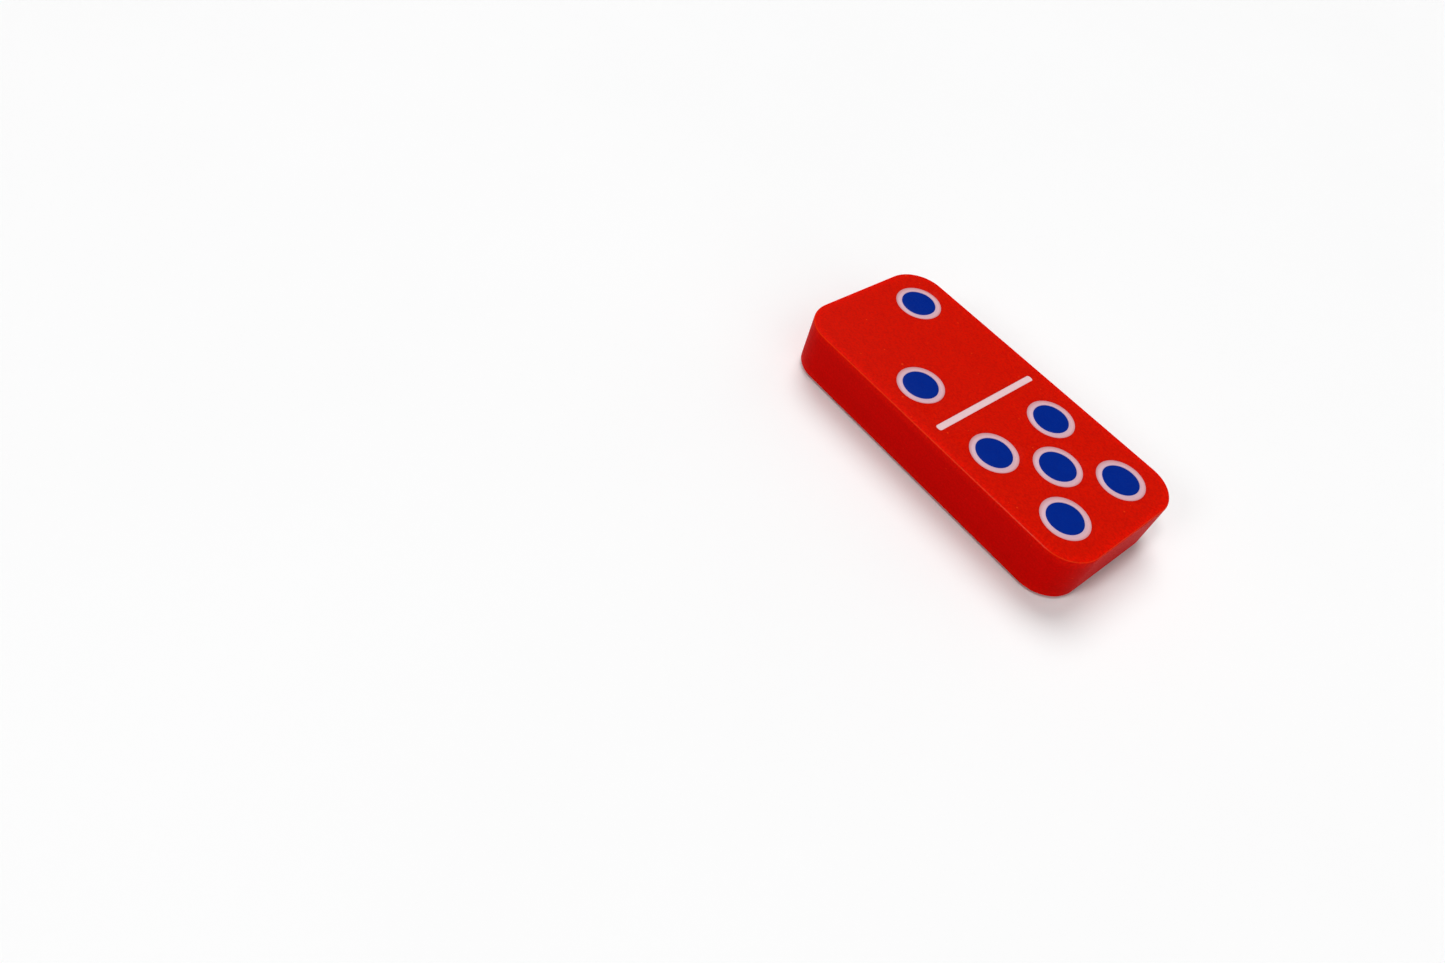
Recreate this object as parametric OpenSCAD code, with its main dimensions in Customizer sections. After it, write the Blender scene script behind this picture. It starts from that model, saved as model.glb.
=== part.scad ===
// Domino tile with inlaid pips on its face and a raised ornament on its back.
// The tile lies on the crest of the ornament: +Z points out of the pip face, X runs along the tile.

/* [Tile] */
// Length of the tile, along X
tile_l = 50; // [40:0.5:60]
// Width of the tile, along Y
tile_w = 24; // [20:0.5:30]
// Thickness of the tile, from the back face to the pip face
tile_t = 7.6; // [5:0.1:12]
// Radius of the four upright corners
corner_r = 5; // [1:0.1:6]
// Radius that rounds the edges of the pip face and the back face
edge_r = 0.3; // [0.1:0.05:0.8]

/* [Pips] */
// Outer diameter of the white ring round each pip
ring_d = 6.7; // [5.6:0.1:8]
// Diameter of the blue disc in each pip
disc_d = 5.05; // [3:0.05:5.4]
// Clear distance between the middle ring and the ring at each corner of a half
pip_gap = 1.8; // [0.4:0.1:3]
// Depth of the pocket that holds each ring and disc
pip_depth = 0.6; // [0.3:0.05:1.5]
// How far the edges of the inlays lie below the pip face
inlay_drop = 0.03; // [0:0.01:0.1]
// How far the middle of the ring's hollow surface dips below its edges
ring_dip = 0.14; // [0.05:0.01:0.25]
// Rounding of the disc's rim
disc_rim_r = 0.08; // [0.02:0.01:0.2]
// Small break that softens the mouth of each pip pocket
mouth_break = 0.06; // [0.02:0.01:0.15]

/* [Divider] */
// Width of the divider bar, along X
divider_w = 1.0; // [0.8:0.1:2]
// Distance from each end of the divider bar to the tile's long side
divider_inset = 2.25; // [1:0.05:5]
// Radius of the divider bar's corners
divider_corner_r = 0.35; // [0.1:0.05:0.4]
// Depth of the slot that holds the divider bar
divider_depth = 0.5; // [0.3:0.05:1.5]

/* [Ornament] */
// Length of the eight-pointed star, tip to tip along X
star_l = 27; // [18:0.5:36]
// Distance from the star's side tips to the tile's long sides
star_margin = 1; // [0.6:0.1:3]
// Notches between the points, as a share of the way from the middle to the tips
star_notch = 0.68; // [0.6:0.01:0.85]
// Radius of the round window in the middle of the star
window_r = 2.6; // [1:0.1:3.2]
// Width of the raised bead that outlines the star and its window
bead_w = 0.95; // [0.6:0.05:1.3]
// How far the bead stands out of the back face
bead_proud = 0.5; // [0.3:0.05:1]
// How far the white field inside the bead stands out of the back face
field_proud = 0.12; // [0:0.02:0.25]
// Depth of the recess in the back that the ornament is set into
ornament_depth = 0.35; // [0.2:0.05:0.8]

/* [Hidden] */
// Every pip: name, half of the tile (-1 or 1), then its step from the middle of that half along X and Y
PIPS = [
    ["two_outer_upper", -1, -1, 1],
    ["two_inner_lower", -1, 1, -1],
    ["five_centre", 1, 0, 0],
    ["five_inner_upper", 1, -1, 1],
    ["five_inner_lower", 1, -1, -1],
    ["five_outer_upper", 1, 1, 1],
    ["five_outer_lower", 1, 1, -1]
];

body_colour = [0.80, 0.05, 0.01];
white_colour = [0.90, 0.84, 0.86];
blue_colour = [0.02, 0.16, 0.52];

// Heights: the crest of the bead is at zero
back_z = bead_proud;
face_z = back_z + tile_t;

// Width of the star, tip to tip along Y
star_w = tile_w - 2 * star_margin;

// The middle of each half, and the pips' step from it
half_x = (tile_l / 2 + divider_w / 2) / 2;
pip_step = (ring_d + pip_gap) / sqrt(2);

over = 0.5;          // how far a cutter runs past the face it opens
round_fn = 96;       // facets on full circles
edge_steps = 5;      // facets on an edge rounding
dip_steps = 8;       // facets across the ring's hollow
crown_steps = 9;     // facets over the bead's crown, odd so that its crest is flat
star_tips = 8;       // points on the star

// Points on an arc in the plane of the profile
function arc(cx, cy, rx, ry, from, to, steps) =
    [for (i = [0:steps]) let (a = from + (to - from) * i / steps) [cx + rx * cos(a), cy + ry * sin(a)]];

// Height of the ring's hollow surface at radius x, measured from its edges
function dip(x) =
    let (half = (ring_d - disc_d) / 4,
         r = (half * half + ring_dip * ring_dip) / (2 * ring_dip),
         from_middle = x - (ring_d + disc_d) / 4)
    r - ring_dip - sqrt(r * r - from_middle * from_middle);

// Section through the tile's wall, from the corner's axis outwards
function wall_section() = concat(
    [[0, 0]],
    arc(corner_r - edge_r, edge_r, edge_r, edge_r, -90, 0, edge_steps),
    arc(corner_r - edge_r, tile_t - edge_r, edge_r, edge_r, 0, 90, edge_steps),
    [[0, tile_t]]
);

// Section through the bead: across it, and up out of the back face
function bead_section() =
    let (crown = min(bead_w / 2, bead_proud),
         rise = crown / cos(90 / crown_steps))
    concat(
        [[-bead_w / 2, -ornament_depth], [bead_w / 2, -ornament_depth]],
        arc(0, bead_proud - crown, bead_w / 2, rise, 0, 180, crown_steps)
    );

// Corners of the star, tip and notch in turn, anticlockwise
function star() =
    [for (i = [0:2 * star_tips - 1])
        let (a = i * 180 / star_tips, share = i % 2 == 0 ? 1 : star_notch)
        share * [star_l / 2 * cos(a), star_w / 2 * sin(a)]];

// Unit vector to the left of the way from p to q, which is into an anticlockwise outline
function inward(p, q) = [p.y - q.y, q.x - p.x] / norm(q - p);

// The outline moved inwards by d, with mitred corners
function inset(points, d) =
    let (n = len(points))
    [for (i = [0:n - 1])
        let (before = inward(points[(i + n - 1) % n], points[i]),
             after = inward(points[i], points[(i + 1) % n]))
        points[i] + (before + after) * d / (1 + before * after)];

// A rounded rectangle, centred
module rounded_rectangle(x, y, r) {
    square([x, y - 2 * r], center = true);
    square([x - 2 * r, y], center = true);
    for (sx = [-1, 1], sy = [-1, 1])
        translate([sx * (x / 2 - r), sy * (y / 2 - r)]) circle(r = r, $fn = round_fn);
}

// Puts a pip's piece on the pip face
module at_pip(p) {
    translate([p[1] * half_x + p[2] * pip_step, p[3] * pip_step, face_z]) children();
}

// Turns the ornament over, so that its own +Z points out of the back face
module on_back() {
    translate([0, 0, back_z]) mirror([0, 0, 1]) children();
}

// The tile before anything is cut into it
module blank() {
    core_x = tile_l - 2 * corner_r;
    core_y = tile_w - 2 * corner_r;
    translate([-core_x / 2, -core_y / 2, 0]) cube([core_x, core_y, tile_t]);
    for (s = [0, 1]) mirror([0, s, 0])
        translate([-core_x / 2, core_y / 2, 0]) rotate([90, 0, 90])
            linear_extrude(core_x) polygon(wall_section());
    for (s = [0, 1]) mirror([s, 0, 0])
        translate([core_x / 2, core_y / 2, 0]) rotate([90, 0, 0])
            linear_extrude(core_y) polygon(wall_section());
    for (sx = [0, 1], sy = [0, 1]) mirror([sx, 0, 0]) mirror([0, sy, 0])
        translate([core_x / 2, core_y / 2, 0])
            rotate_extrude(angle = 90, $fn = round_fn) polygon(wall_section());
}

// The pocket for a ring and its disc
module pip_pocket() {
    rotate_extrude($fn = round_fn) polygon([
        [0, -pip_depth],
        [ring_d / 2, -pip_depth],
        [ring_d / 2, -mouth_break],
        [ring_d / 2 + mouth_break + over, over],
        [0, over]
    ]);
}

module tile_body() {
    color(body_colour) difference() {
        translate([0, 0, back_z]) blank();
        for (p = PIPS) at_pip(p) pip_pocket();
        translate([0, 0, face_z - divider_depth]) linear_extrude(divider_depth + over)
            rounded_rectangle(divider_w, tile_w - 2 * divider_inset, divider_corner_r);
        on_back() translate([0, 0, -ornament_depth]) difference() {
            linear_extrude(ornament_depth + over) polygon(star());
            cylinder(r = window_r, h = ornament_depth + over, $fn = round_fn);
        }
    }
}

module divider_bar() {
    color(white_colour) translate([0, 0, face_z - divider_depth])
        linear_extrude(divider_depth - inlay_drop)
            rounded_rectangle(divider_w, tile_w - 2 * divider_inset, divider_corner_r);
}

// White ring with a hollow upper surface
module pip_ring(p) {
    inner = disc_d / 2;
    width = (ring_d - disc_d) / 2;
    color(white_colour) at_pip(p) rotate_extrude($fn = round_fn) polygon(concat(
        [[inner, -pip_depth], [inner + width, -pip_depth]],
        [for (i = [dip_steps:-1:0])
            let (x = inner + width * i / dip_steps) [x, dip(x) - inlay_drop]]
    ));
}

// Blue disc, flat on top with a softened rim
module pip_disc(p) {
    top = -inlay_drop;
    color(blue_colour) at_pip(p) rotate_extrude($fn = round_fn) polygon(concat(
        [[0, -pip_depth], [disc_d / 2, -pip_depth]],
        arc(disc_d / 2 - disc_rim_r, top - disc_rim_r, disc_rim_r, disc_rim_r, 0, 90, edge_steps),
        [[0, top]]
    ));
}

// White field inside the star's bead, round the window's rim
module ornament_field() {
    color(white_colour) on_back() translate([0, 0, -ornament_depth]) difference() {
        linear_extrude(ornament_depth + field_proud) polygon(inset(star(), bead_w));
        translate([0, 0, -over])
            cylinder(r = window_r + bead_w, h = ornament_depth + field_proud + 2 * over, $fn = round_fn);
    }
}

// The bead swept round the star, with a mitre at each of its corners
module ornament_outline() {
    outer = star();
    inner = inset(outer, bead_w);
    section = bead_section();
    corners = len(outer);
    m = len(section);
    points = [for (i = [0:corners - 1], s = section)
        let (place = outer[i] + (s.x / bead_w + 0.5) * (inner[i] - outer[i]))
            [place.x, place.y, s.y]];
    faces = [for (i = [0:corners - 1], k = [0:m - 1])
        let (j = (i + 1) % corners, l = (k + 1) % m)
            [i * m + k, j * m + k, j * m + l, i * m + l]];
    color(blue_colour) on_back() polyhedron(points, faces);
}

module ornament_window_rim() {
    color(blue_colour) on_back()
        rotate_extrude($fn = round_fn) translate([window_r + bead_w / 2, 0]) polygon(bead_section());
}

tile_body();
divider_bar();
ornament_field();
ornament_outline();
ornament_window_rim();
for (p = PIPS) pip_ring(p);
for (p = PIPS) pip_disc(p);
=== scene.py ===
"""Domino tile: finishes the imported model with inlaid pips, a raised star and a studio stage."""

import math

import bmesh
import bpy
from bpy.props import FloatProperty, FloatVectorProperty, IntProperty, PointerProperty
from mathutils import Matrix, Quaternion, Vector


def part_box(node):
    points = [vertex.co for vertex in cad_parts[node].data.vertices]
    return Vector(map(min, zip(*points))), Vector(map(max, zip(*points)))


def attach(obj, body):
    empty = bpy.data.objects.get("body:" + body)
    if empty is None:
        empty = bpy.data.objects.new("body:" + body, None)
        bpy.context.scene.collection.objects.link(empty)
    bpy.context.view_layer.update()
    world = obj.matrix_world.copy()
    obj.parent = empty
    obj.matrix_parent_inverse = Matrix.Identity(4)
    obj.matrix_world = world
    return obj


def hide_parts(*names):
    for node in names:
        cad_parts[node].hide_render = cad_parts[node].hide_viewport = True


bl_info = {
    "name": "Domino Tile",
    "version": (1, 0, 0),
    "blender": (4, 5, 0),
    "location": "3D View > Sidebar > Domino",
    "description": "Builds a finished domino tile round its packed model, on a plain studio stage",
    "category": "Add Mesh",
}

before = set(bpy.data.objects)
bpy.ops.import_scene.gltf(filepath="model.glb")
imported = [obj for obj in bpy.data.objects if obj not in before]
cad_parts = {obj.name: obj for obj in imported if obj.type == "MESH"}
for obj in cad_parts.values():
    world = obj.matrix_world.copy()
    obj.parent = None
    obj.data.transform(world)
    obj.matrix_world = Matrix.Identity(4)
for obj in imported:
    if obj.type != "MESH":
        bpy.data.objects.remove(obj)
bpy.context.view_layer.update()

MM = 0.001
TINY = 1e-7  # two places closer than this are the same place
STAR_TIPS = 8
SHARP_ANGLE = math.radians(40)  # an edge that turns more than this is shaded as a crease

# Steps that round a quarter turn of each kind of edge. A bead's cross-section has two of them.
CORNER_STEPS = 20
EDGE_STEPS = 6
MOUTH_STEPS = 3
BAR_CORNER_STEPS = 6
BAR_EDGE_STEPS = 3
DISC_RIM_STEPS = 5
BEAD_STEPS = 10
WINDOW_RIM_STEPS = 12
HOLLOW_STEPS = 16  # across a ring's hollow surface

# The waves that make up a pip's waver: height, number round the pip, and turn from pip to pip.
WAVES = ((0.5, 2, 1.7), (0.3, 3, 2.9), (0.2, 5, 4.1))

# The lights: name, spread in degrees, and the direction that the light comes from.
LIGHTS = (
    ("key", 36, (-0.40, 0.34, 0.85)),
    ("front", 12, (-0.11, -0.44, 0.89)),
    ("low", 16, (-0.15, -0.84, 0.52)),
    ("side", 60, (0.80, -0.20, 0.56)),
    ("back", 60, (0.30, 0.85, 0.43)),
)
FLOOR_RADIUS = 60.0
SEEN_SKY = 0.98  # the sky's strength where the camera sees it

# The painted attributes that tell the white enamel what it borders on. Where a piece has neither,
# it stays plain white.
NEAR_BLUE = "near_blue"
NEAR_RED = "near_red"

# ---- Sizes that the imported model gives ----------------------------------------------------


def points_of(node):
    """The places of a node's vertices."""
    return [v.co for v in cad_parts[node].data.vertices]


body_lo, body_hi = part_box("tile_body")
half_length = body_hi.x
half_width = body_hi.y
face_z = body_hi.z
back_z = body_lo.z

long_wall = [p for p in points_of("tile_body") if p.y > body_hi.y - TINY]
corner_radius = half_length - max(p.x for p in long_wall)
edge_radius = face_z - max(p.z for p in long_wall)

pip_names = sorted(n[: -len("_ring")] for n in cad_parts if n.endswith("_ring"))
ring_lo, ring_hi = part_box("five_centre_ring")
disc_lo, disc_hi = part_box("five_centre_disc")
ring_radius = (ring_hi.y - ring_lo.y) / 2
disc_radius = (disc_hi.y - disc_lo.y) / 2
pip_floor_z = ring_lo.z
inlay_top_z = disc_hi.z

bar_lo, bar_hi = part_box("divider_bar")
star_lo, star_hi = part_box("ornament_outline")
field_lo, field_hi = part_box("ornament_field")
rim_reach = [math.hypot(p.x, p.y) for p in points_of("ornament_window_rim")]
window_radius = min(rim_reach)
bead_width = max(rim_reach) - window_radius


# ---- Sizes and colours that a user may change -----------------------------------------------


def length(name, text, value_mm):
    """A length property. Its default is given in millimetres."""
    return FloatProperty(
        name=name, description=text, default=value_mm * MM, unit="LENGTH", precision=5
    )


def angle(name, text, degrees):
    """An angle property. Its default is given in degrees."""
    return FloatProperty(
        name=name, description=text, default=math.radians(degrees), subtype="ANGLE"
    )


def light_power(name, text, value):
    """A property for a light's strength."""
    return FloatProperty(name=name, description=text, default=value)


def colour(name, text, value):
    """A colour property."""
    return FloatVectorProperty(
        name=name, description=text, default=value, size=3, min=0.0, max=1.0, subtype="COLOR"
    )


class DominoSizes(bpy.types.PropertyGroup):
    """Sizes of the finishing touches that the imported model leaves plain."""

    mouth_round: length("Mouth Rounding", "Rounding of each pocket's mouth", 0.06)
    ring_dip: length("Ring Dip", "How far a ring's hollow surface sinks below its edges", 0.14)
    disc_dome: length("Disc Dome", "How far a disc's middle rises above its rim", 0.02)
    disc_rim: length("Disc Rim", "Rounding of a disc's rim", 0.05)
    disc_waver: length("Disc Waver", "How far a disc's outline strays from a true circle", 0.035)
    bar_corner: length("Bar Corner", "Radius of the divider bar's corners", 0.35)
    bar_dish: length("Bar Dish", "How far the divider bar's surface sinks inside its edges", 0.05)
    bead_land: length("Bead Crest", "Width of the worn flat along the crest of the bead", 0.08)
    star_notch: FloatProperty(
        name="Star Notch",
        description="Notches of the star, as a share of the way from its middle to its tips",
        default=0.68,
        min=0.5,
        max=0.95,
    )
    round_steps: IntProperty(
        name="Round Steps", description="Steps round each full circle", default=96, min=24, max=256
    )


class DominoColours(bpy.types.PropertyGroup):
    """Colours of the tile and its inlays."""

    red: colour("Red", "Main colour of the tile's plastic", (0.650, 0.0070, 0.0006))
    # Painted shade: besides the plastic's darker grain, this deep red darkens the side walls.
    red_deep_and_wall_shade: colour("Deep Red", "Darker grain in the tile's plastic, and painted shade on its walls", (0.410, 0.0020, 0.0003))
    # Painted shade: the side walls get a deeper, less orange red, standing in for the dark
    # surroundings they reflect.
    red_painted_wall_shade: colour("Wall Red", "Painted shade: a deeper red on the tile's side walls", (0.650, 0.0008, 0.0002))
    # Painted light: the edges are painted a brighter red, standing in for light that scatters
    # through the plastic there.
    red_painted_glow: colour("Glowing Red", "Painted glow: brighter red near the tile's edges", (0.920, 0.0060, 0.0003))
    # Real pale specks, and also the painted highlight along the edges' crests.
    red_speck_and_highlight: colour("Red Speck", "Pale specks, and the painted highlight along the edge crests", (0.920, 0.070, 0.0080))
    white: colour("White", "White of the inlays", (0.780, 0.550, 0.570))
    white_shade: colour("White Shade", "Darker clouds in the white", (0.670, 0.420, 0.450))
    lilac: colour("Lilac", "White that borders on the blue", (0.600, 0.405, 0.510))
    rose: colour("Rose", "White that borders on the red", (0.580, 0.260, 0.290))
    blue: colour("Blue", "Blue of the discs and the bead", (0.0003, 0.021, 0.250))
    blue_deep: colour("Deep Blue", "Darker clouds in the blue", (0.0002, 0.012, 0.190))
    floor: colour("Floor", "The pale floor", (0.94, 0.94, 0.94))


class DominoStage(bpy.types.PropertyGroup):
    """The camera and the lights."""

    aim: FloatVectorProperty(
        name="Aim",
        description="Point on the floor that the camera looks at",
        default=(-0.01153, -0.03447, 0.0),
        subtype="TRANSLATION",
        unit="LENGTH",
    )
    distance: length("Distance", "From the camera to the point it looks at", 123.4)
    azimuth: angle("Azimuth", "The camera's turn round the tile, from the lower long side", 38.78)
    elevation: angle("Elevation", "The camera's height above the floor, as an angle", 49.55)
    roll: angle("Roll", "The camera's tilt to its left", 16.66)
    lens: FloatProperty(name="Lens", description="Focal length in millimetres", default=24.33)
    key_power: light_power("Key Light", "Strength of the light from above", 1.75)
    front_power: light_power("Front Light", "Strength of the crisp light in front", 0.80)
    low_power: light_power("Low Light", "Strength of the low light in front", 0.50)
    side_power: light_power("Side Light", "Strength of the light from the side", 0.65)
    back_power: light_power("Back Light", "Strength of the light from behind", 0.40)
    sky: light_power("Sky", "Strength of the light from all round", 0.10)


# ---- Shader building blocks -----------------------------------------------------------------


def add(tree, kind, inputs=None, **settings):
    """Adds a node, sets it up, and links or sets its inputs."""
    made = tree.nodes.new(kind)
    for name, value in settings.items():
        setattr(made, name, value)
    for name, value in (inputs or {}).items():
        if isinstance(value, bpy.types.NodeSocket):
            tree.links.new(value, made.inputs[name])
        else:
            made.inputs[name].default_value = value
    return made


def calc(tree, operation, *values, clamp=False):
    """A Math node's result."""
    inputs = dict(enumerate(values))
    return add(tree, "ShaderNodeMath", inputs, operation=operation, use_clamp=clamp).outputs[0]


def vector_calc(tree, operation, *values):
    """A Vector Math node's vector result."""
    made = add(tree, "ShaderNodeVectorMath", dict(enumerate(values)), operation=operation)
    return made.outputs["Vector"]


def mix(tree, share, first, second):
    """A colour between two, by share."""
    made = add(tree, "ShaderNodeMix", data_type="RGBA")
    for socket, value in zip(("Factor_Float", "A_Color", "B_Color"), (share, first, second)):
        target = next(s for s in made.inputs if s.identifier == socket)
        if isinstance(value, bpy.types.NodeSocket):
            tree.links.new(value, target)
        else:
            target.default_value = value if isinstance(value, float) else (*value, 1.0)
    return next(s for s in made.outputs if s.identifier == "Result_Color")


def layer(tree, base, mask, over, share):
    """A base with a colour over it by a mask, at most by a share."""
    return mix(tree, calc(tree, "MULTIPLY", mask, share), base, tuple(over))


def ramp(tree, value, low, high, to_low=0.0, to_high=1.0):
    """A value's smooth step from one range to another."""
    inputs = {
        "Value": value,
        "From Min": low,
        "From Max": high,
        "To Min": to_low,
        "To Max": to_high,
    }
    made = add(tree, "ShaderNodeMapRange", inputs, interpolation_type="SMOOTHSTEP")
    return made.outputs["Result"]


def start_group(name, inputs, outputs):
    """A new shader node group, with what it is given and its results.

    A float input comes with its default, and a vector input with None.
    """
    tree = bpy.data.node_groups.new(name, "ShaderNodeTree")
    for socket, default in inputs.items():
        kind = "NodeSocketVector" if default is None else "NodeSocketFloat"
        made = tree.interface.new_socket(socket, in_out="INPUT", socket_type=kind)
        if default is not None:
            made.default_value = default
    for socket in outputs:
        tree.interface.new_socket(socket, in_out="OUTPUT", socket_type="NodeSocketFloat")
    return tree, tree.nodes.new("NodeGroupInput").outputs, tree.nodes.new("NodeGroupOutput").inputs


def fine_grain():
    """Group: the fine cloudy grain of moulded plastic and enamel."""
    if "Fine Grain" in bpy.data.node_groups:
        return bpy.data.node_groups["Fine Grain"]
    tree, given, result = start_group(
        "Fine Grain", {"Position": None, "Grain Size": 0.0002, "Contrast": 1.0}, ["Shade"]
    )
    scale = calc(tree, "DIVIDE", 1.0, given["Grain Size"])
    noise = add(
        tree,
        "ShaderNodeTexNoise",
        {"Vector": given["Position"], "Scale": scale, "Detail": 3.0, "Roughness": 0.6},
    )
    centred = calc(tree, "SUBTRACT", noise.outputs["Fac"], 0.5)
    spread = calc(tree, "MULTIPLY_ADD", centred, given["Contrast"], 0.5, clamp=True)
    tree.links.new(spread, result["Shade"])
    return tree


def pale_specks():
    """Group: small separate specks, on a share of the cells of a random pattern."""
    if "Pale Specks" in bpy.data.node_groups:
        return bpy.data.node_groups["Pale Specks"]
    tree, given, result = start_group(
        "Pale Specks", {"Position": None, "Spacing": 0.001, "Share": 0.3, "Radius": 0.2}, ["Mask"]
    )
    scale = calc(tree, "DIVIDE", 1.0, given["Spacing"])
    cells = add(tree, "ShaderNodeTexVoronoi", {"Vector": given["Position"], "Scale": scale})
    chance = add(tree, "ShaderNodeSeparateColor", {"Color": cells.outputs["Color"]})
    chosen = calc(tree, "LESS_THAN", chance.outputs["Red"], given["Share"])
    smallest = 0.3  # the smallest speck's share of the radius
    size = calc(tree, "ADD", chance.outputs["Green"], smallest)
    radius = calc(tree, "MULTIPLY", given["Radius"], size)
    spot = ramp(tree, cells.outputs["Distance"], 0.0, radius, 1.0, 0.0)
    tree.links.new(calc(tree, "MULTIPLY", chosen, spot), result["Mask"])
    return tree


def tile_edge():
    """Group: where the edges have their crest and painted glow, and where the tile's wall is."""
    if "Tile Edge" in bpy.data.node_groups:
        return bpy.data.node_groups["Tile Edge"]
    tree, given, result = start_group(
        "Tile Edge",
        {"Position": None, "Crest Width": 0.0004, "Glow Width": 0.002},
        ["Crest", "Glow", "Wall"],
    )
    middle = (0.0, 0.0, (face_z + back_z) / 2)
    core = (half_length - corner_radius, half_width - corner_radius, 0.0)
    centred = vector_calc(tree, "SUBTRACT", given["Position"], middle)
    centred = vector_calc(tree, "ABSOLUTE", centred)
    past = vector_calc(tree, "SUBTRACT", centred, core)
    past = vector_calc(tree, "MAXIMUM", past, (0.0, 0.0, 0.0))
    flat = vector_calc(tree, "MULTIPLY", past, (1.0, 1.0, 0.0))
    out = add(tree, "ShaderNodeVectorMath", {0: flat}, operation="LENGTH").outputs["Value"]
    from_wall = calc(tree, "SUBTRACT", corner_radius, out, clamp=True)
    height = add(tree, "ShaderNodeSeparateXYZ", {"Vector": centred}).outputs["Z"]
    from_face = calc(tree, "SUBTRACT", (face_z - back_z) / 2, height, clamp=True)
    squares = [calc(tree, "POWER", distance, 2.0) for distance in (from_wall, from_face)]
    from_edge = calc(tree, "SQRT", calc(tree, "ADD", *squares))
    crest_top = edge_radius * (math.sqrt(2) - 1)
    crest = ramp(tree, from_edge, crest_top, given["Crest Width"], 1.0, 0.0)
    glow = ramp(tree, from_edge, 0.0, given["Glow Width"], 1.0, 0.0)
    wall = ramp(tree, from_wall, 0.0, edge_radius, 1.0, 0.0)
    tree.links.new(crest, result["Crest"])
    tree.links.new(glow, result["Glow"])
    tree.links.new(wall, result["Wall"])
    return tree


def start_material(name):
    """A new material with its node tree, its shader and its object position."""
    material = bpy.data.materials.new(name)
    material.use_nodes = True
    tree = material.node_tree
    shader = tree.nodes["Principled BSDF"]
    position = add(tree, "ShaderNodeTexCoord").outputs["Object"]
    return material, tree, shader, position


def place(tree, group, **inputs):
    """A group's outputs, placed in a material. An underscore in an input stands for a space."""
    made = tree.nodes.new("ShaderNodeGroup")
    made.node_tree = group
    for name, value in inputs.items():
        socket = made.inputs[name.replace("_", " ")]
        if isinstance(value, bpy.types.NodeSocket):
            tree.links.new(value, socket)
        else:
            socket.default_value = value
    return made.outputs


def relief(tree, shader, height, depth, strength=1.0, normal=None):
    """Bump of a real depth, fed to the shader's normal."""
    inputs = {"Height": height, "Distance": depth, "Strength": strength}
    if normal is not None:
        inputs["Normal"] = normal
    bump = add(tree, "ShaderNodeBump", inputs)
    tree.links.new(bump.outputs["Normal"], shader.inputs["Normal"])
    return bump.outputs["Normal"]


def red_plastic(colours):
    """Satin red plastic: grained, speckled and lined, with painted glow, highlight and wall shade.
    """
    material, tree, shader, position = start_material("finished_red_plastic")
    grains = fine_grain()
    grain = place(tree, grains, Position=position, Grain_Size=0.000308, Contrast=3.6)["Shade"]
    cloud = place(tree, grains, Position=position, Grain_Size=0.0030, Contrast=2.0)["Shade"]
    specks = place(
        tree, pale_specks(), Position=position, Spacing=0.0011, Share=0.25, Radius=0.17
    )["Mask"]
    edge = place(tree, tile_edge(), Position=position, Crest_Width=0.00018, Glow_Width=0.0016)

    line_stretch = 0.04  # the mould's lines run level round the wall
    stretched = vector_calc(tree, "MULTIPLY", position, (line_stretch, line_stretch, 1.0))
    lines = place(tree, grains, Position=stretched, Grain_Size=0.00035, Contrast=2.2)["Shade"]
    line_share = 0.25
    lines = calc(tree, "MULTIPLY", calc(tree, "MULTIPLY", lines, line_share), edge["Wall"])

    # Painted shade: the walls are darkened towards the deep red, along with the mould's real lines.
    painted_wall_shade_share = 0.06
    painted_wall_shade_and_lines = calc(tree, "MULTIPLY_ADD", edge["Wall"], painted_wall_shade_share, lines)
    # Painted glow: a band along every edge is painted brighter, more so on the walls.
    painted_glow_share = ramp(tree, edge["Wall"], 0.0, 1.0, to_low=0.45, to_high=0.60)
    base = mix(tree, edge["Wall"], tuple(colours.red), tuple(colours.red_painted_wall_shade))
    base = layer(tree, base, edge["Glow"], colours.red_painted_glow, share=painted_glow_share)
    base = layer(tree, base, grain, colours.red_deep_and_wall_shade, share=0.56)
    base = layer(tree, base, cloud, colours.red_deep_and_wall_shade, share=0.12)
    base = mix(tree, painted_wall_shade_and_lines, base, tuple(colours.red_deep_and_wall_shade))
    base = layer(tree, base, specks, colours.red_speck_and_highlight, share=0.60)
    # Painted highlight: a thin pale line along the crest of every edge.
    base = layer(tree, base, edge["Crest"], colours.red_speck_and_highlight, share=0.36)
    tree.links.new(base, shader.inputs["Base Color"])

    wall_roughness = 0.16  # how much rougher the wall is than the faces
    rough = ramp(tree, grain, 0.0, 1.0, to_low=0.26, to_high=0.36)
    rough = calc(tree, "MULTIPLY_ADD", edge["Wall"], wall_roughness, rough)
    tree.links.new(rough, shader.inputs["Roughness"])
    shader.inputs["Specular IOR Level"].default_value = 0.01
    crest_coat = 0.12
    coat = calc(tree, "MULTIPLY", edge["Crest"], crest_coat)
    tree.links.new(coat, shader.inputs["Coat Weight"])
    shader.inputs["Coat Roughness"].default_value = 0.2
    shader.inputs["Subsurface Weight"].default_value = 0.25
    shader.inputs["Subsurface Radius"].default_value = (1.0, 0.12, 0.05)
    shader.inputs["Subsurface Scale"].default_value = 0.0014

    lined = relief(tree, shader, lines, depth=0.00004, strength=0.6)
    bumps = calc(tree, "ADD", grain, specks)
    relief(tree, shader, bumps, depth=0.000006, strength=0.7, normal=lined)
    return material


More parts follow.
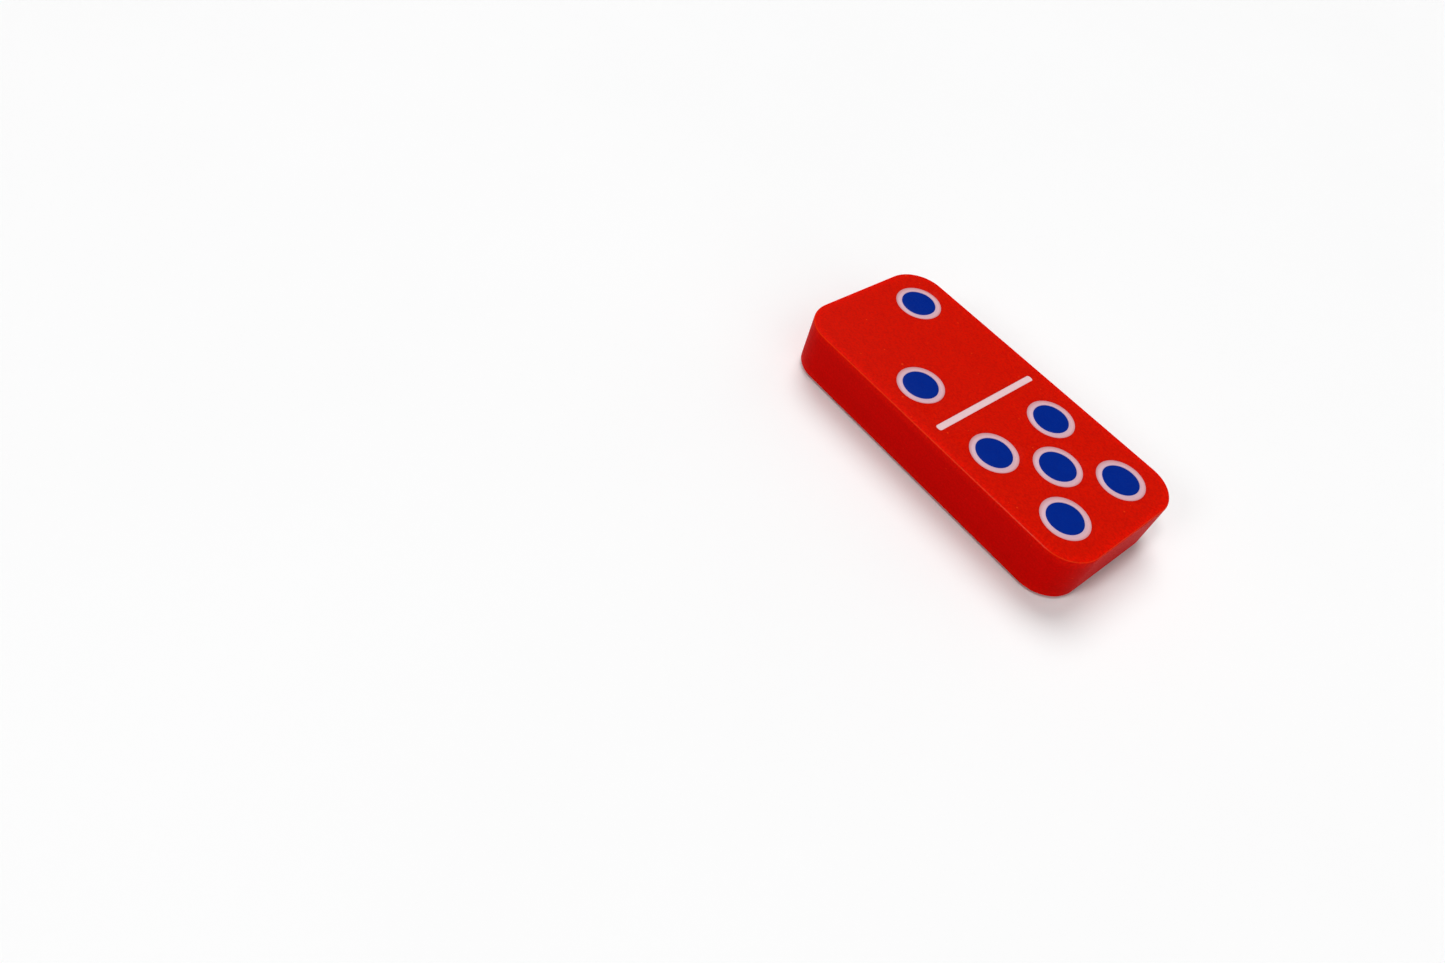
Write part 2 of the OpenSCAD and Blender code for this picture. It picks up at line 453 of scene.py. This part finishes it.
def white_enamel(colours):
    """Satin white inlay: lilac where it borders on blue and rose where it borders on red."""
    material, tree, shader, position = start_material("finished_white_enamel")
    grains = fine_grain()
    grain = place(tree, grains, Position=position, Grain_Size=0.00022, Contrast=2.4)["Shade"]
    cloud = place(tree, grains, Position=position, Grain_Size=0.0012, Contrast=2.4)["Shade"]
    near_blue = add(tree, "ShaderNodeAttribute", attribute_name=NEAR_BLUE).outputs["Fac"]
    near_red = add(tree, "ShaderNodeAttribute", attribute_name=NEAR_RED).outputs["Fac"]
    base = layer(tree, tuple(colours.white), cloud, colours.white_shade, share=0.30)
    base = layer(tree, base, grain, colours.white_shade, share=0.20)
    base = mix(tree, near_blue, base, tuple(colours.lilac))
    base = mix(tree, near_red, base, tuple(colours.rose))
    tree.links.new(base, shader.inputs["Base Color"])
    rough = ramp(tree, grain, 0.0, 1.0, to_low=0.30, to_high=0.42)
    tree.links.new(rough, shader.inputs["Roughness"])
    shader.inputs["Specular IOR Level"].default_value = 0.15
    relief(tree, shader, grain, depth=0.000004, strength=0.6)
    return material


def blue_enamel(colours):
    """Deep blue inlay with a soft gloss and faint clouds."""
    material, tree, shader, position = start_material("finished_blue_enamel")
    grains = fine_grain()
    grain = place(tree, grains, Position=position, Grain_Size=0.00024, Contrast=2.6)["Shade"]
    cloud = place(tree, grains, Position=position, Grain_Size=0.0013, Contrast=2.4)["Shade"]
    base = layer(tree, tuple(colours.blue), cloud, colours.blue_deep, share=0.35)
    base = layer(tree, base, grain, colours.blue_deep, share=0.40)
    tree.links.new(base, shader.inputs["Base Color"])
    rough = ramp(tree, grain, 0.0, 1.0, to_low=0.22, to_high=0.32)
    tree.links.new(rough, shader.inputs["Roughness"])
    shader.inputs["Specular IOR Level"].default_value = 0.015
    relief(tree, shader, grain, depth=0.000003, strength=0.5)
    return material


def pale_floor(colours):
    """Plain matte floor with the faintest unevenness."""
    material, tree, shader, position = start_material("pale_floor")
    cloud = place(tree, fine_grain(), Position=position, Grain_Size=0.08, Contrast=1.0)["Shade"]
    dimming = 0.97  # the darkest part's share of the floor's colour
    base = mix(tree, cloud, tuple(colours.floor), tuple(dimming * c for c in colours.floor))
    tree.links.new(base, shader.inputs["Base Color"])
    shader.inputs["Roughness"].default_value = 0.75
    shader.inputs["Specular IOR Level"].default_value = 0.2
    return material


MAKERS = {"red_plastic": red_plastic, "white_enamel": white_enamel, "blue_enamel": blue_enamel}


def finish_material(slot):
    """The detailed material of a slot, made once."""
    made = bpy.data.materials.get("finished_" + slot)
    return made or MAKERS[slot](bpy.context.scene.domino_colours)


# ---- Mesh building blocks -------------------------------------------------------------------


def quarter(steps):
    """Angles from 0 to a right angle."""
    return [math.pi / 2 * i / steps for i in range(steps + 1)]


def turned(profile, closed, steps):
    """A bmesh turned from a profile of (radius, height) points about the upright axis."""
    bm = bmesh.new()
    verts = [bm.verts.new((radius, 0.0, height)) for radius, height in profile]
    pairs = list(zip(verts, verts[1:]))
    if closed:
        pairs.append((verts[-1], verts[0]))
    edges = [bm.edges.new(pair) for pair in pairs]
    bmesh.ops.spin(
        bm,
        geom=verts + edges,
        cent=(0, 0, 0),
        axis=(0, 0, 1),
        angle=math.tau,
        steps=steps,
        use_merge=True,
    )
    return bm


def upright_block(low, high, radius, steps):
    """A bmesh block between two corners, with its upright edges rounded."""
    bm = bmesh.new()
    bmesh.ops.create_cube(bm, size=1.0)
    for v in bm.verts:
        share = v.co + Vector((0.5, 0.5, 0.5))
        v.co = Vector([low[i] + share[i] * (high[i] - low[i]) for i in range(3)])
    upright = [e for e in bm.edges if abs(e.verts[0].co.z - e.verts[1].co.z) > TINY]
    round_edges(bm, upright, radius, steps)
    return bm


def round_edges(bm, edges, radius, steps):
    """Rounds edges with an arc."""
    bmesh.ops.bevel(
        bm,
        geom=edges,
        offset=radius,
        segments=steps,
        profile=0.5,
        affect="EDGES",
        material=-1,
        clamp_overlap=False,
    )


def level_edges(bm, z):
    """The edges that lie at one height."""
    return [e for e in bm.edges if all(abs(v.co.z - z) < TINY for v in e.verts)]


def level_face(bm, z):
    """The largest face at one height."""
    level = [f for f in bm.faces if all(abs(v.co.z - z) < TINY for v in f.verts)]
    return max(level, key=lambda f: f.calc_area())


def star_loop(bm, z, capped):
    """The star's outline at one height, as edges and, when capped, a face."""
    made = bmesh.ops.create_circle(bm, cap_ends=capped, radius=1.0, segments=2 * STAR_TIPS)
    notch = bpy.context.scene.domino_sizes.star_notch
    for v in made["verts"]:
        corner = round(math.atan2(v.co.y, v.co.x) / (math.pi / STAR_TIPS))
        reach = notch if corner % 2 else 1.0
        v.co = Vector((v.co.x * star_hi.x * reach, v.co.y * star_hi.y * reach, z))
    return list({e for v in made["verts"] for e in v.link_edges})


def inset_star(bm, faces):
    """Insets the star by the bead's width, and gives the band of faces that the bead stands on."""
    made = bmesh.ops.inset_region(
        bm, faces=faces, thickness=bead_width, use_even_offset=True, use_boundary=True
    )
    return made["faces"]


def circle_loop(bm, centre, radius, steps):
    """A ring of edges round a centre."""
    made = bmesh.ops.create_circle(
        bm, cap_ends=False, radius=radius, segments=steps, matrix=Matrix.Translation(centre)
    )
    return list({e for v in made["verts"] for e in v.link_edges})


def drawn(bm, edges, step, centre=None, scale=1.0):
    """Extrudes a loop of edges by a step, scaled about a centre, and gives the new loop."""
    made = bmesh.ops.extrude_edge_only(bm, edges=edges)["geom"]
    verts = [g for g in made if isinstance(g, bmesh.types.BMVert)]
    if centre is not None:
        bmesh.ops.scale(bm, vec=(scale, scale, 1.0), space=Matrix.Translation(-centre), verts=verts)
    bmesh.ops.translate(bm, vec=step, verts=verts)
    new = set(verts)
    return [g for g in made if isinstance(g, bmesh.types.BMEdge) and set(g.verts) <= new]


def add_bmesh(bm, other):
    """Adds another bmesh to this one, and frees it."""
    mesh = bpy.data.meshes.new("spare")
    other.to_mesh(mesh)
    other.free()
    bm.from_mesh(mesh)
    bpy.data.meshes.remove(mesh)


def waver(bm, number, sizes):
    """Makes the line between ring and disc waver, alike on both and differently on each pip."""
    for v in bm.verts:
        reach = math.hypot(v.co.x, v.co.y)
        if reach < TINY:
            continue
        inward = min(1.0, reach / disc_radius)
        outward = min(1.0, (ring_radius - reach) / (ring_radius - disc_radius))
        round_pip = math.atan2(v.co.y, v.co.x)
        wave = sum(
            height * math.sin(count * round_pip + turn * number) for height, count, turn in WAVES
        )
        scale = 1 + sizes.disc_waver * wave * min(inward, outward) / reach
        v.co.x *= scale
        v.co.y *= scale


def move_to_pip(bm, pip):
    """Moves a turned piece to the middle of its pip."""
    lo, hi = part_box(pip + "_disc")
    bmesh.ops.translate(bm, vec=((lo.x + hi.x) / 2, (lo.y + hi.y) / 2, 0.0), verts=bm.verts)


def crosses(edge):
    """Does an edge of the bead's crest run across it, from its outer side to its inner side?"""
    level = [f for f in edge.link_faces if abs(f.normal.z) > 0.5]
    return len(level) == 2


def paint(bm, name, amount):
    """Paints a named amount on every vertex, worked out from its place."""
    amounts = bm.verts.layers.float.new(name)
    for v in bm.verts:
        v[amounts] = amount(v.co)


def finished_piece(bm, name, nodes, slot):
    """Makes the bmesh an object that stands for CAD nodes, with its material and smooth shading."""
    bmesh.ops.remove_doubles(bm, verts=bm.verts, dist=TINY)
    bmesh.ops.recalc_face_normals(bm, faces=bm.faces)
    for f in bm.faces:
        f.smooth = True
    for e in bm.edges:
        e.smooth = e.is_manifold and e.calc_face_angle() < SHARP_ANGLE
    mesh = bpy.data.meshes.new(name)
    bm.to_mesh(mesh)
    bm.free()
    piece = bpy.data.objects.new(name, mesh)
    bpy.context.scene.collection.objects.link(piece)
    shading = piece.modifiers.new("Face Weighted Normals", "WEIGHTED_NORMAL")
    shading.keep_sharp = True
    mesh.materials.append(finish_material(slot))
    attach(piece, "root")
    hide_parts(*nodes)
    return piece


# ---- Operators, one for each piece or group of like pieces ----------------------------------


class DOMINO_OT_body(bpy.types.Operator):
    """Build the red body with its rounded edges, pip pockets, divider slot and star recess"""

    bl_idname = "domino.body"
    bl_label = "Tile Body"

    def execute(self, context):
        sizes = context.scene.domino_sizes
        bm = upright_block(body_lo, body_hi, corner_radius, CORNER_STEPS)
        outline = level_edges(bm, face_z) + level_edges(bm, back_z)
        round_edges(bm, outline, edge_radius, EDGE_STEPS)

        top = level_face(bm, face_z)
        rims = list(top.edges)
        bmesh.ops.delete(bm, geom=[top], context="FACES_ONLY")
        for pip in pip_names:
            rims += self.pip_pocket(bm, pip, sizes)
        rims += self.divider_slot(bm, sizes)
        bmesh.ops.triangle_fill(bm, use_beauty=True, edges=rims, normal=(0, 0, 1))

        back = level_face(bm, back_z)
        rims = list(back.edges)
        bmesh.ops.delete(bm, geom=[back], context="FACES_ONLY")
        rims += self.star_recess(bm, sizes)
        bmesh.ops.triangle_fill(bm, use_beauty=True, edges=rims, normal=(0, 0, -1))
        finished_piece(bm, "red_body", ["tile_body"], "red_plastic")
        return {"FINISHED"}

    def pip_pocket(self, bm, pip, sizes):
        """A round pocket with a softened mouth. Gives its rim."""
        lo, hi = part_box(pip + "_ring")
        centre = Vector(((lo.x + hi.x) / 2, (lo.y + hi.y) / 2, face_z))
        mouth = sizes.mouth_round
        rim = circle_loop(bm, centre, ring_radius + mouth, sizes.round_steps)
        loop, radius, depth = rim, ring_radius + mouth, 0.0
        for turn in quarter(MOUTH_STEPS)[1:]:
            next_radius = ring_radius + mouth * (1 - math.sin(turn))
            next_depth = mouth * (1 - math.cos(turn))
            step = Vector((0, 0, depth - next_depth))
            loop = drawn(bm, loop, step, centre, next_radius / radius)
            radius, depth = next_radius, next_depth
        loop = drawn(bm, loop, Vector((0, 0, pip_floor_z - face_z + depth)))
        bmesh.ops.edgenet_fill(bm, edges=loop)
        return rim

    def divider_slot(self, bm, sizes):
        """A slot with rounded corners. Gives its rim."""
        high = Vector((bar_hi.x, bar_hi.y, face_z))
        slot = upright_block(bar_lo, high, sizes.bar_corner, BAR_CORNER_STEPS)
        bmesh.ops.delete(slot, geom=[level_face(slot, face_z)], context="FACES_ONLY")
        before = set(bm.edges)
        add_bmesh(bm, slot)
        return [e for e in level_edges(bm, face_z) if e not in before]

    def star_recess(self, bm, sizes):
        """A star-shaped recess with a round island in it. Gives its rim."""
        rim = star_loop(bm, back_z, False)
        up = Vector((0, 0, star_hi.z - back_z))
        floor_edge = drawn(bm, rim, up)
        island = circle_loop(bm, Vector((0, 0, back_z)), window_radius, sizes.round_steps)
        island_foot = drawn(bm, island, up)
        foot = floor_edge + island_foot
        bmesh.ops.triangle_fill(bm, use_beauty=True, edges=foot, normal=(0, 0, -1))
        bmesh.ops.edgenet_fill(bm, edges=island)
        return rim


class DOMINO_OT_rings(bpy.types.Operator):
    """Build the white ring of every pip, with its hollow surface"""

    bl_idname = "domino.rings"
    bl_label = "Pip Rings"

    def execute(self, context):
        sizes = context.scene.domino_sizes
        width = ring_radius - disc_radius
        bowl = 1.4  # the hollow's section: 1 is a V and 2 is an arc
        profile = [(disc_radius, pip_floor_z), (ring_radius, pip_floor_z)]
        for i in range(HOLLOW_STEPS):
            across = 2 * i / HOLLOW_STEPS - 1
            drop = sizes.ring_dip * (1 - abs(across) ** bowl)
            profile.append((ring_radius - width * i / HOLLOW_STEPS, inlay_top_z - drop))
        profile.append((disc_radius, inlay_top_z))
        lilac_reach = 0.9  # share of the ring's width that the lilac fades out over
        rose_fall = 1.3  # how fast the rose fades from the outer side: 1 is even

        def across_ring(point):
            """How far a point lies across the ring: 0 at its inner side and 1 at its outer."""
            return (math.hypot(point.x, point.y) - disc_radius) / width

        for number, pip in enumerate(pip_names):
            bm = turned(profile, True, sizes.round_steps)
            paint(bm, NEAR_BLUE, lambda point: max(0.0, 1 - across_ring(point) / lilac_reach))
            paint(bm, NEAR_RED, lambda point: max(0.0, across_ring(point)) ** rose_fall)
            waver(bm, number, sizes)
            move_to_pip(bm, pip)
            finished_piece(bm, pip + "_white_ring", [pip + "_ring"], "white_enamel")
        return {"FINISHED"}


class DOMINO_OT_discs(bpy.types.Operator):
    """Build the blue disc of every pip, faintly domed with a soft rim"""

    bl_idname = "domino.discs"
    bl_label = "Pip Discs"

    def execute(self, context):
        sizes = context.scene.domino_sizes
        rim = sizes.disc_rim
        shoulder_z = inlay_top_z - sizes.disc_dome
        profile = [(0.0, pip_floor_z), (disc_radius, pip_floor_z)]
        for turn in quarter(DISC_RIM_STEPS):
            across = disc_radius - rim * (1 - math.cos(turn))
            profile.append((across, shoulder_z - rim * (1 - math.sin(turn))))
        flat = disc_radius - rim
        for share in (0.8, 0.6, 0.4, 0.2, 0.0):
            profile.append((flat * share, shoulder_z + sizes.disc_dome * (1 - share * share)))
        for number, pip in enumerate(pip_names):
            bm = turned(profile, False, sizes.round_steps)
            waver(bm, number, sizes)
            move_to_pip(bm, pip)
            finished_piece(bm, pip + "_blue_disc", [pip + "_disc"], "blue_enamel")
        return {"FINISHED"}


class DOMINO_OT_divider(bpy.types.Operator):
    """Build the white divider bar, with soft edges and a faintly sunken surface"""

    bl_idname = "domino.divider"
    bl_label = "Divider Bar"

    def execute(self, context):
        sizes = context.scene.domino_sizes
        bm = upright_block(bar_lo, bar_hi, sizes.bar_corner, BAR_CORNER_STEPS)
        round_edges(bm, level_edges(bm, bar_hi.z), sizes.bar_dish, BAR_EDGE_STEPS)
        top = level_face(bm, bar_hi.z)
        # The surface sinks in steps of a width in millimetres and a share of the dish.
        for width, share in ((0.06, 0.4), (0.09, 0.4), (0.10, 0.2)):
            bmesh.ops.inset_region(
                bm,
                faces=[top],
                thickness=width * MM,
                depth=-share * sizes.bar_dish,
                use_even_offset=True,
            )
        finished_piece(bm, "white_divider_bar", ["divider_bar"], "white_enamel")
        return {"FINISHED"}


class DOMINO_OT_ornament_field(bpy.types.Operator):
    """Build the star's white field, open round the window's rim"""

    bl_idname = "domino.ornament_field"
    bl_label = "Ornament Field"

    def execute(self, context):
        sizes = context.scene.domino_sizes
        bm = bmesh.new()
        star_loop(bm, field_hi.z, True)
        band = inset_star(bm, bm.faces[:])
        bmesh.ops.delete(bm, geom=band, context="FACES")
        outline = bm.edges[:]
        bmesh.ops.delete(bm, geom=bm.faces[:], context="FACES_ONLY")
        centre = Vector((0, 0, field_hi.z))
        rims = outline + circle_loop(bm, centre, window_radius + bead_width, sizes.round_steps)
        bmesh.ops.triangle_fill(bm, use_beauty=True, edges=rims, normal=(0, 0, 1))
        lowered = drawn(bm, rims, Vector((0, 0, field_lo.z - field_hi.z)))
        bmesh.ops.triangle_fill(bm, use_beauty=True, edges=lowered, normal=(0, 0, -1))
        finished_piece(bm, "white_star_field", ["ornament_field"], "white_enamel")
        return {"FINISHED"}


class DOMINO_OT_ornament_outline(bpy.types.Operator):
    """Build the raised blue bead round the star"""

    bl_idname = "domino.ornament_outline"
    bl_label = "Ornament Outline"

    def execute(self, context):
        sizes = context.scene.domino_sizes
        bm = bmesh.new()
        star_loop(bm, star_hi.z, True)
        inner = bm.faces[:]
        inset_star(bm, inner)
        bmesh.ops.delete(bm, geom=inner, context="FACES")
        band = bm.faces[:] + bm.edges[:]
        made = bmesh.ops.extrude_face_region(bm, geom=band, use_keep_orig=True)["geom"]
        crest = [g for g in made if isinstance(g, bmesh.types.BMVert)]
        bmesh.ops.translate(bm, vec=(0, 0, star_lo.z - star_hi.z), verts=crest)
        # Only the edges that run along the bead are rounded.
        along = [e for e in level_edges(bm, star_lo.z) if not crosses(e)]
        round_edges(bm, along, (bead_width - sizes.bead_land) / 2, BEAD_STEPS)
        finished_piece(bm, "blue_star_bead", ["ornament_outline"], "blue_enamel")
        return {"FINISHED"}


class DOMINO_OT_ornament_rim(bpy.types.Operator):
    """Build the raised blue rim of the star's round window"""

    bl_idname = "domino.ornament_rim"
    bl_label = "Window Rim"

    def execute(self, context):
        sizes = context.scene.domino_sizes
        lo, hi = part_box("ornament_window_rim")
        radius = bead_width / 2
        middle = window_radius + radius
        profile = [(window_radius, hi.z), (middle + radius, hi.z)]
        for i in range(2 * WINDOW_RIM_STEPS + 1):
            turn = math.pi * i / (2 * WINDOW_RIM_STEPS)
            across = middle + radius * math.cos(turn)
            profile.append((across, lo.z + radius * (1 - math.sin(turn))))
        bm = turned(profile, True, sizes.round_steps)
        finished_piece(bm, "blue_window_rim", ["ornament_window_rim"], "blue_enamel")
        return {"FINISHED"}


class DOMINO_OT_stage(bpy.types.Operator):
    """Set up the camera, the floor, the sky and the soft lights"""

    bl_idname = "domino.stage"
    bl_label = "Stage"

    def execute(self, context):
        scene = context.scene
        stage = scene.domino_stage
        self.camera(scene, stage)
        self.floor(scene)
        self.sky(scene, stage.sky)
        for name, spread, toward in LIGHTS:
            power = getattr(stage, name + "_power")
            self.light(scene, name + "_light", power, spread, Vector(toward))
        scene.view_settings.view_transform = "Standard"
        return {"FINISHED"}

    def camera(self, scene, stage):
        """The camera looks at its aim from its angle, and leans by its roll."""
        data = bpy.data.cameras.new("camera")
        data.lens = stage.lens
        data.sensor_width = 36.0
        data.clip_start = 0.005
        data.clip_end = 200.0
        turn, rise = stage.azimuth, stage.elevation
        level = math.cos(rise)
        back = Vector((math.sin(turn) * level, -math.cos(turn) * level, math.sin(rise)))
        lean = Quaternion((0, 0, 1), stage.roll)
        camera = bpy.data.objects.new("camera", data)
        camera.location = Vector(stage.aim) + back * stage.distance
        camera.rotation_mode = "QUATERNION"
        camera.rotation_quaternion = (-back).to_track_quat("-Z", "Y") @ lean
        scene.collection.objects.link(camera)
        scene.camera = camera

    def floor(self, scene):
        """A wide round floor at the height that the tile lies on."""
        bm = bmesh.new()
        bmesh.ops.create_circle(bm, cap_ends=True, radius=FLOOR_RADIUS, segments=128)
        mesh = bpy.data.meshes.new("floor")
        bm.to_mesh(mesh)
        bm.free()
        floor = bpy.data.objects.new("floor", mesh)
        mesh.materials.append(pale_floor(scene.domino_colours))
        scene.collection.objects.link(floor)

    def sky(self, scene, strength):
        """Even light from all round, seen by the camera as pale as the floor."""
        world = bpy.data.worlds.new("sky")
        world.use_nodes = True
        scene.world = world
        tree = world.node_tree
        background = tree.nodes["Background"]
        background.inputs["Color"].default_value = (1.0, 1.0, 1.0, 1.0)
        seen = add(tree, "ShaderNodeLightPath").outputs["Is Camera Ray"]
        inputs = {"Value": seen, "To Min": strength, "To Max": SEEN_SKY}
        level = add(tree, "ShaderNodeMapRange", inputs)
        tree.links.new(level.outputs["Result"], background.inputs["Strength"])

    def light(self, scene, name, power, spread, toward):
        """A distant soft light that comes from a direction, as wide as its spread in degrees."""
        data = bpy.data.lights.new(name, "SUN")
        data.energy = power
        data.angle = math.radians(spread)
        light = bpy.data.objects.new(name, data)
        light.rotation_mode = "QUATERNION"
        light.rotation_quaternion = (-toward).to_track_quat("-Z", "Y")
        scene.collection.objects.link(light)


class DOMINO_PT_panel(bpy.types.Panel):
    """Lists the tile's pieces, and the sizes and colours behind them"""

    bl_idname = "DOMINO_PT_panel"
    bl_label = "Domino Tile"
    bl_space_type = "VIEW_3D"
    bl_region_type = "UI"
    bl_category = "Domino"

    def draw(self, context):
        layout = self.layout
        for operator in OPERATORS:
            layout.operator(operator.bl_idname)
        for name, group in GROUPS.items():
            box = layout.box()
            settings = getattr(context.scene, name)
            for field in group.__annotations__:
                box.prop(settings, field)


OPERATORS = (
    DOMINO_OT_stage,
    DOMINO_OT_body,
    DOMINO_OT_rings,
    DOMINO_OT_discs,
    DOMINO_OT_divider,
    DOMINO_OT_ornament_field,
    DOMINO_OT_ornament_outline,
    DOMINO_OT_ornament_rim,
)
GROUPS = {
    "domino_sizes": DominoSizes,
    "domino_colours": DominoColours,
    "domino_stage": DominoStage,
}


def register():
    """Registers the classes and hangs the settings on the scene."""
    for cls in (*GROUPS.values(), *OPERATORS, DOMINO_PT_panel):
        bpy.utils.register_class(cls)
    for name, group in GROUPS.items():
        setattr(bpy.types.Scene, name, PointerProperty(type=group))


def unregister():
    """Takes the settings and the classes away again."""
    for name in GROUPS:
        delattr(bpy.types.Scene, name)
    for cls in reversed((*GROUPS.values(), *OPERATORS, DOMINO_PT_panel)):
        bpy.utils.unregister_class(cls)


def main():
    """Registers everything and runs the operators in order."""
    register()
    for operator in OPERATORS:
        family, name = operator.bl_idname.split(".")
        getattr(getattr(bpy.ops, family), name)()


if __name__ == "__main__":
    main()
